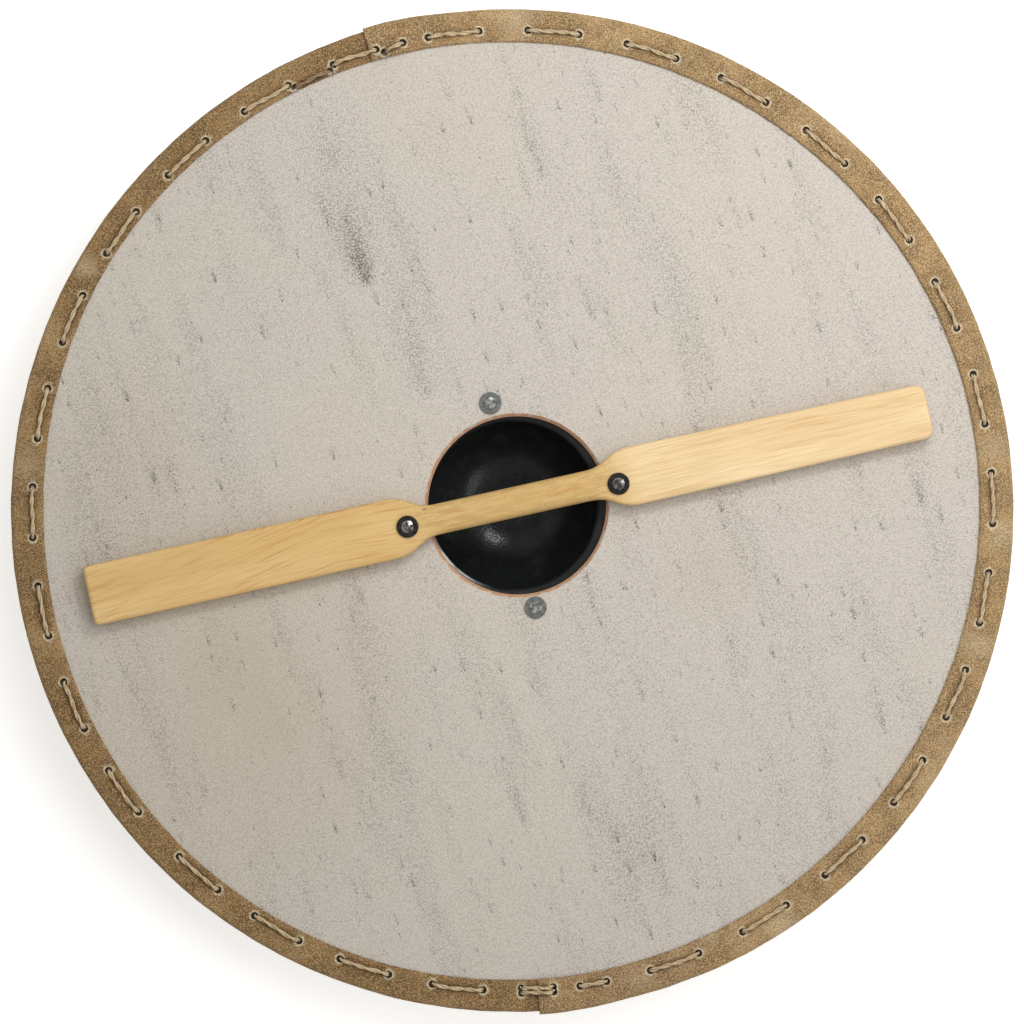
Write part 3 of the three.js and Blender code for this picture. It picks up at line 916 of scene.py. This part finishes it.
def make_rivet(place, material, seed):
    """Domed head under the flange, shank, and an end hammered over the washer."""
    low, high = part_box("rivet_" + place)
    middle = (low + high) / 2
    head_top = boss_height - boss_steel - gap
    end_bottom = high.z - rivet_end_height
    shank, head, end = rivet_diameter / 2, rivet_head_diameter / 2, rivet_end_diameter / 2
    head_brim, end_brim = 0.4 * mm, 0.35 * mm
    steps, blows = 8, 7
    profile = []
    for i in range(steps + 1):
        turn = math.pi / 2 * i / steps
        profile.append((head * math.sin(turn), head_top - head_brim
                        - (rivet_head_height - head_brim) * math.cos(turn)))
    profile += [(head, head_top), (shank, head_top), (shank, end_bottom), (end, end_bottom)]
    for i in range(1, steps + 1):
        turn = math.pi / 2 * i / steps
        profile.append((end * math.cos(turn) ** 0.7 if i < steps else 0,
                        end_bottom + end_brim + (rivet_end_height - end_brim) * math.sin(turn)))
    bm = turned(profile, middle, 40)

    # Each blow of the hammer leaves a flat, a little lower than the crown of the end
    draw = np.random.default_rng(seed)
    for blow in range(blows):
        azimuth = full_turn * (blow + draw.uniform(-0.3, 0.3)) / blows
        tilt = math.radians(draw.uniform(10, 24))
        outward = Vector((math.cos(azimuth), math.sin(azimuth), 0))
        normal = Vector((math.cos(azimuth) * math.sin(tilt), math.sin(azimuth) * math.sin(tilt),
                         math.cos(tilt)))
        depth = draw.uniform(0.1, 0.3) * mm
        struck = Vector((middle.x, middle.y, high.z)) + outward * end * 0.5
        struck.z -= depth + 0.25 * mm
        geometry = bm.verts[:] + bm.edges[:] + bm.faces[:]
        bmesh.ops.bisect_plane(bm, geom=geometry, plane_co=struck, plane_no=normal,
                               clear_outer=True)
        bmesh.ops.holes_fill(bm, edges=bm.edges, sides=0)
    bmesh.ops.recalc_face_normals(bm, faces=bm.faces)
    return finished("rivet_" + place + "_steel", bm, [material], ["rivet_" + place],
                    12)


def make_washer(place, material):
    """A flat ring with a rounded upper edge, pressed from sheet."""
    low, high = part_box("washer_" + place)
    middle = (low + high) / 2
    outer = max(high.x - low.x, high.y - low.y) / 2
    inner = rivet_diameter / 2 + gap
    edge = 0.45 * mm
    profile = [
        (inner, low.z),
        (outer - edge * 0.4, low.z),
        (outer, low.z + edge * 0.4),
        *quarter((outer - edge, high.z - edge), edge, 0, 4, way=1),
        (inner, high.z),
    ]
    bm = turned(profile, middle, 64)
    return finished("washer_" + place + "_steel", bm, [material], ["washer_" + place])


# The hide's inner edge wanders where the strip was cut by hand: angle in the picture, and how
# far the edge stands outwards from its usual place in millimetres.
edge_wander = [(15, -0.4), (55, -2.0), (90, -0.4), (120, 2.4), (150, 3.4), (180, 0.0), (225, 2.0),
               (255, 1.6), (275, 0.2), (292, -1.2), (325, -2.9), (350, -1.8)]


def wandering_edge(angles):
    """Radius of the hide's inner edge at each angle."""
    turn = math.degrees(picture_turn)
    knots = [angle - turn for angle, _ in edge_wander]
    steps = [step * mm for _, step in edge_wander]
    spread = np.interp(angles, knots, steps, period=360)
    return shield_radius - hide_width + spread


def spaced(low, high, fine_places, fine_step, coarse_step, reach):
    """Stations from low to high, close together near the fine places."""
    stations = [low]
    fine_places = np.array(fine_places)
    while stations[-1] < high:
        here = stations[-1]
        ahead = fine_places[fine_places > here - reach]
        near = len(ahead) > 0 and np.min(np.abs(ahead - here)) < reach
        until = np.min(ahead[ahead > here] - reach - here) if np.any(ahead > here) else coarse_step
        step = fine_step if near else min(coarse_step, max(until, fine_step))
        stations.append(here + step)
    stations[-1] = high
    return np.array(stations)


def strip_profile():
    """The strip's outer face from its inner edge on the back, round the rim, to the front's.

    Each station is its share of the way along a leg, its radius on the fold, or None on a leg,
    and its height off the middle of the strip.
    """
    half = (hide_back - hide_front) / 2
    leg_width = hide_width - hide_round
    lace = 1 - (lace_inset - hide_round) / leg_width
    leg = spaced(0, 1, [lace], 0.8 * mm / leg_width, 2.1 * mm / leg_width, 5.2 * mm / leg_width)
    back_leg = [(share, None, half) for share in leg]
    middle = (shield_radius - hide_round, half - hide_round)
    fold = [(1, *point) for point in quarter(middle, hide_round, 90, 4)[1:]]
    profile = back_leg + fold + [(1, shield_radius, 0.0)]
    front = [(share, radius, -height) for share, radius, height in reversed(profile[:-1])]
    return profile + front


def strip_angles(first, last):
    """Stations round the rim, close together near the awl holes."""
    holes = []
    for angle, _ in lace_holes:
        for whole in (-360, 0, 360):
            if first - 2 < angle + whole < last + 2:
                holes.append(angle + whole)
    return spaced(first, last, holes, arc_degrees(0.8 * mm, lace_radius),
                  arc_degrees(2.2 * mm, lace_radius), arc_degrees(4.4 * mm, lace_radius))


def hole_distances(angles, radii):
    """Distance of each point of the rim to its nearest awl hole, and that hole's number."""
    places = np.array([(lace_radius + step, math.radians(angle)) for angle, step in lace_holes])
    x, y = radii * np.cos(np.radians(angles)), radii * np.sin(np.radians(angles))
    hole_x, hole_y = places[:, 0] * np.cos(places[:, 1]), places[:, 0] * np.sin(places[:, 1])
    away = np.hypot(x[:, None] - hole_x, y[:, None] - hole_y)
    nearest = np.argmin(away, axis=1)
    return away[np.arange(len(x)), nearest], nearest


def strand_dents(angles, radii, on_back, reach):
    """How close each point of the rim lies to a strand of twine on its side.

    It is 1 under a strand, or 2 under a sunk one, and falls to 0 within a few times the reach,
    which is given in twine diameters.
    """
    dent = np.zeros(len(angles))
    for i in range(0 if on_back else 1, len(lace_holes) - 1, 2):
        (start, start_step), (end, end_step) = lace_holes[i], lace_holes[i + 1]
        turn = (angles - start + 180) % 360 - 180
        share = turn / (end - start)
        step = start_step + (end_step - start_step) * np.clip(share, 0, 1)
        beyond = np.maximum(np.maximum(-share, share - 1), 0) * abs(end - start)
        along = np.radians(beyond) * lace_radius
        across = radii - lace_radius - step
        away = np.hypot(along, across) / (twine_diameter * reach)
        deep = 2 if on_back and min(start_step, end_step) < sunk_shift else 1
        dent = np.maximum(dent, deep * np.exp(-away * away))
    return dent


def make_strip(name, first, last, lapped, material, node):
    """A strip of hide folded round the rim, with its awl holes, dents and raised lips.

    Its angles go from first to last, and the lapped strip is the one that passes over the other.
    """
    angles = strip_angles(first, last)
    profile = strip_profile()
    bm = bmesh.new()
    bmesh.ops.create_grid(bm, x_segments=len(angles) - 1, y_segments=len(profile) - 1, size=0.5)
    columns = np.array([round((v.co.x + 0.5) * (len(angles) - 1)) for v in bm.verts])
    rows = np.array([round((v.co.y + 0.5) * (len(profile) - 1)) for v in bm.verts])
    angle = angles[columns]
    shares = np.array([share for share, _, _ in profile])[rows]
    fixed = np.array([radius or 0 for _, radius, _ in profile])[rows]
    height = np.array([z for _, _, z in profile])[rows]
    side = np.sign(height)
    edge = wandering_edge(angle)
    nicks = [noise.noise(Vector((a * 0.9, 0.5 + s, 3.1))) for a, s in zip(angle, side)]
    edge = edge + np.array(nicks) * 0.4 * mm
    fold_start = shield_radius - hide_round
    radius = np.where(fixed > 0, fixed, edge + (fold_start - edge) * shares)

    away, nearest = hole_distances(angle, radius)
    on_leg = shares < 1

    def under_strands(reach):
        back, front = (strand_dents(angle, radius, on_back, reach) for on_back in (True, False))
        return np.where(side > 0, back, front) * on_leg

    def bumps(round_rim, outwards):
        return np.array([noise.noise(Vector((math.radians(a) * round_rim, r * outwards, s * 4)))
                         for a, r, s in zip(angle, radius, side)])

    dent, greased = under_strands(0.75), under_strands(2.8)
    lip = np.exp(-(((away - awl_radius - 0.5 * mm) / (1.1 * mm)) ** 2)) * on_leg
    wave, rough = bumps(24, 60), bumps(110, 300)
    rise = (0.55 * lip * (1 - 0.7 * dent) - 0.75 * dent + 0.35 * wave + 0.12 * rough) * mm

    # The inner edge is skived, or pared thin, from above
    skived = np.exp(-((radius - edge) / (1.6 * mm)) ** 2) * on_leg
    rise = np.minimum(rise, 0.6 * mm) - 1.1 * mm * skived

    # Where it laps over the other strip, the outer one stands higher and reaches further out
    lift = np.array([lap_lift(a) if lapped else 0 for a in angle])
    bulge = np.array([lap_lift(a, rim_ramp) if lapped else 0 for a in angle])
    outer = radius > board_radius - hide_round
    radius = radius + np.where(outer, bulge, 0) + np.where(on_leg, 0, rise)
    middle = (hide_back + hide_front) / 2
    z = middle + height + side * (lift + np.where(on_leg, rise, 0))

    pale_lip = bm.verts.layers.float.new("pale_lip")
    # Dirt and painted shade in the dents under the strands
    dirt_and_shade = bm.verts.layers.float.new("dirt_and_shade")
    grease = bm.verts.layers.float.new("grease")
    thinned = bm.verts.layers.deform.verify()
    bm.verts.index_update()
    for k, vert in enumerate(bm.verts):
        vert.co = rim_place(angle[k], radius[k], z[k])
        vert[pale_lip] = float(max(lip[k] * (1 - dent[k] * 0.6), 0))
        vert[dirt_and_shade] = float(min(dent[k] * 0.5, 1))
        vert[grease] = float(min(greased[k], 1))
        vert[thinned][0] = float(1 - 0.6 * skived[k])

    # The awl holes: faces inside go, and the corners left round them close in on a circle.
    inside = (away < awl_radius) & on_leg
    holed = [face for face in bm.faces if all(inside[vert.index] for vert in face.verts)]
    for vert in {vert for face in holed for vert in face.verts}:
        hole_angle, step = lace_holes[nearest[vert.index]]
        centre = rim_place(hole_angle, lace_radius + step, vert.co.z)
        vert.co = centre + (vert.co - centre).normalized() * awl_radius
    bmesh.ops.delete(bm, geom=holed, context="FACES")
    bmesh.ops.recalc_face_normals(bm, faces=bm.faces)
    top_face = max(bm.faces, key=lambda f: f.calc_center_median().z)
    if top_face.normal.z < 0:
        bmesh.ops.reverse_faces(bm, faces=bm.faces)
    piece = finished(name, bm, [material], [node], 60)
    wall = piece.modifiers.new("hide_thickness", "SOLIDIFY")
    wall.thickness = hide_thickness
    wall.offset = -1
    wall.vertex_group = piece.vertex_groups.new(name="share_of_thickness").name
    return piece


def twine_route():
    """Middle line of the twine through every hole, and the outward direction at each point."""
    draw = np.random.default_rng(11)
    points = []

    def run_to(target):
        if not points:
            points.append(target)
            return
        start = points[-1]
        count = max(int((target - start).length / route_step), 1)
        for i in range(1, count + 1):
            points.append(start.lerp(target, i / count))

    def strand(start, end, on_back):
        (first, first_step), (last, last_step) = start, end
        sunk = on_back and min(first_step, last_step) < sunk_shift
        proud = twine_diameter / 2 - (sunk_depth if sunk else pulled_in)
        way = math.copysign(1, last - first)
        entry = arc_degrees(1.2 * mm, lace_radius) * way
        bulge = draw.uniform(-0.9, 0.9) * mm
        sway = draw.uniform(-0.8, 0.8) * mm
        count = max(int(abs(last - first) / 0.12), 8)
        for i in range(count + 1):
            share = i / count
            angle = first + entry + (last - first - 2 * entry) * share
            step = first_step + (last_step - first_step) * share
            slack = abs(last - first) / 6
            step += bulge * math.sin(math.pi * share) * slack
            step += sway * math.sin(full_turn * share) * slack
            lift = lap_lift(angle) + proud
            height = hide_back + lift if on_back else hide_front - lift
            run_to(rim_place(angle, lace_radius + step, height))

    tail = arc_degrees(tail_length, lace_radius)
    first, last = lace_holes[0], lace_holes[-1]
    strand((first[0] - tail, first[1]), first, False)
    for i, (start, end) in enumerate(zip(lace_holes, lace_holes[1:])):
        strand(start, end, i % 2 == 0)
    strand(last, (last[0] - tail, last[1]), False)
    route = np.array(points)

    # Averaging over a few millimetres rounds the bends into the holes.
    reach = 4
    padded = np.pad(route, ((reach, reach), (0, 0)), mode="edge")
    for _ in range(2):
        cumulated = np.cumsum(np.vstack([np.zeros(3), padded]), axis=0)
        averaged = (cumulated[2 * reach + 1:] - cumulated[:-2 * reach - 1]) / (2 * reach + 1)
        padded = np.pad(averaged, ((reach, reach), (0, 0)), mode="edge")
    smooth = padded[reach:-reach]
    lengths = np.linalg.norm(np.diff(smooth, axis=0), axis=1)
    along = np.concatenate([[0], np.cumsum(lengths)])
    stations = np.linspace(0, along[-1], int(along[-1] / twine_step))
    return stations, np.stack([np.interp(stations, along, smooth[:, k]) for k in range(3)], axis=1)


def make_twine():
    """Two plies laid round each other along the whole route, neither of them quite even."""
    stations, route = twine_route()
    headings = np.gradient(route, axis=0)
    headings /= np.linalg.norm(headings, axis=1)[:, None]
    outward = route - np.array([board_middle.x, board_middle.y, 0])
    outward[:, 2] = 0
    outward -= headings * np.sum(outward * headings, axis=1)[:, None]
    outward /= np.linalg.norm(outward, axis=1)[:, None]
    upward = np.cross(headings, outward)
    whole = bmesh.new()
    lay = whole.verts.layers.float_vector.new("lay")
    sunk = whole.verts.layers.float.new("sunk")
    inward = lace_radius - np.hypot(route[:, 0] - board_middle.x, route[:, 1] - board_middle.y)
    on_back = route[:, 2] > hide_back - 2 * mm
    how_sunk = np.clip((inward - 2.4 * mm) / (1.0 * mm), 0, 1) * on_back
    for ply in range(2):
        slack = np.array([noise.noise(Vector((s * 30, ply * 7.0, 0.5))) for s in stations])
        turn = full_turn * (stations / ply_pitch + ply / 2) + slack * 0.9
        fat = 1 + 0.12 * np.array([noise.noise(Vector((s * 90, ply * 5.0, 4.5)))
                                   for s in stations])
        out = outward * np.cos(turn)[:, None] + upward * np.sin(turn)[:, None]
        up = -outward * np.sin(turn)[:, None] + upward * np.cos(turn)[:, None]
        middle = route + out * ply_offset
        corners = []
        for side in range(ply_sides):
            around = full_turn * side / ply_sides
            reach = (out * math.cos(around) + up * math.sin(around)) * (ply_radius * fat)[:, None]
            corners.append(middle + reach)
        corners = np.array(corners)
        mesh = mesh_of("ply", sleeve(len(stations), ply_sides, lambda i, j: corners[j, i]))
        before = len(whole.verts)
        whole.from_mesh(mesh)
        bpy.data.meshes.remove(mesh)
        whole.verts.ensure_lookup_table()
        # Each corner of the ply is found again by its place, and learns where it is along the
        # twine and round the ply, which the fibres of the finish follow.
        found = {tuple(np.round(corners[j, i], 6)): (i, j) for j in range(ply_sides)
                 for i in range(len(stations))}
        for vert in whole.verts[before:]:
            i, j = found.get(tuple(np.round(np.array(vert.co), 6)), (0, 0))
            around = full_turn * j / ply_sides
            vert[lay] = (stations[i], ply_radius * math.cos(around),
                         ply_radius * math.sin(around) + ply * 0.01)
            vert[sunk] = float(how_sunk[i])
    return finished("twine", whole, [twine_finish()], ["edge_lacing"], 70)


# Surroundings


def make_floor():
    """A pale floor that glows a little, so that it comes out white without more light."""
    bm = bmesh.new()
    bmesh.ops.create_grid(bm, x_segments=1, y_segments=1, size=6)
    mesh = mesh_of("floor", bm)
    finish = Finish("pale_floor")
    finish.shine(Roughness=0.9, Specular_IOR_Level=0.1, Emission_Strength=0.45)
    finish.shine(Emission_Color=(1, 1, 1, 1))
    mesh.materials.append(finish.done((0.93, 0.93, 0.92, 1)))
    floor = placed("floor", mesh)


def make_light(name, picture_angle, reach, height, size, power, colour, mirrored=True):
    """A soft square light that faces the shield, placed by its angle in the picture.

    One that isn't mirrored lights the shield without showing in its glossy steel.
    """
    turn = math.radians(picture_angle) - picture_turn
    data = bpy.data.lights.new(name, "AREA")
    data.size = size
    data.energy = power
    data.color = colour
    light = placed(name, data)
    light.location = (reach * math.cos(turn), reach * math.sin(turn), height)
    light.rotation_euler = (-light.location).to_track_quat("-Z", "Y").to_euler()
    light.visible_glossy = mirrored


def make_camera():
    """Looks straight down, from a height and with a lens that give the picture's width."""
    data = bpy.data.cameras.new("camera")
    data.sensor_width = 36
    data.lens = data.sensor_width * camera_rise / picture_width
    data.clip_end = 50
    camera = placed("camera", data)
    camera.location = camera_aim + Vector((0, 0, camera_rise))
    camera.rotation_euler = (0, 0, -picture_turn)
    bpy.context.scene.camera = camera


def light_scene():
    """A grey studio, a large light at the upper right, its bright core and one from the side."""
    scene = bpy.context.scene
    scene.view_settings.view_transform = "Standard"
    scene.world = bpy.data.worlds.new("studio")
    scene.world.use_nodes = True
    background = scene.world.node_tree.nodes["Background"]
    background.inputs["Color"].default_value = (1, 0.99, 0.96, 1)
    background.inputs["Strength"].default_value = 0.45
    make_light("key", picture_angle=49, reach=0.56, height=1.14, size=1.3, power=11.3,
               colour=(1, 0.99, 0.985), mirrored=False)
    make_light("spark", picture_angle=58, reach=0.95, height=1.3, size=0.16, power=4.6,
               colour=(0.95, 0.98, 1))
    make_light("side", picture_angle=-28, reach=2.6, height=1.6, size=1.6, power=16,
               colour=(0.97, 0.985, 1))


make_camera()
light_scene()
make_floor()

make_board()
dark_hide = hide_finish("edge_hide_dark", rgb(131, 103, 64), rgb(180, 153, 112))
pale_hide = hide_finish("edge_hide_pale", rgb(160, 131, 89), rgb(196, 170, 130))
lap_angle = arc_degrees(lap_length, shield_radius)
make_strip("hide_strip_left", seam_top_angle - lap_angle, seam_bottom_angle + lap_angle, False,
           dark_hide, "rim_hide_left")
make_strip("hide_strip_right", seam_bottom_angle - 360, seam_top_angle, True, pale_hide,
           "rim_hide_right")
make_twine()
make_boss()
make_grip()

rivet_steel = steel_finish("bright_rivet_steel", rgb(120, 120, 118), rgb(225, 225, 222), 0.28, 1.0)
dark_rivet_steel = steel_finish("dark_rivet_steel", rgb(88, 84, 80), rgb(186, 182, 177), 0.27, 1.0)
grey_zinc = steel_finish("grey_zinc", rgb(92, 94, 91), rgb(116, 118, 114), 0.5, 0.25)
black_steel = steel_finish("blackened_steel", rgb(24, 23, 22), rgb(50, 46, 42), 0.35, 0.4)
for number, place in enumerate(rivet_places):
    if place.startswith("grip"):
        make_rivet(place, dark_rivet_steel, number)
        make_washer(place, black_steel)
    else:
        make_rivet(place, rivet_steel, number)
        make_washer(place, grey_zinc)
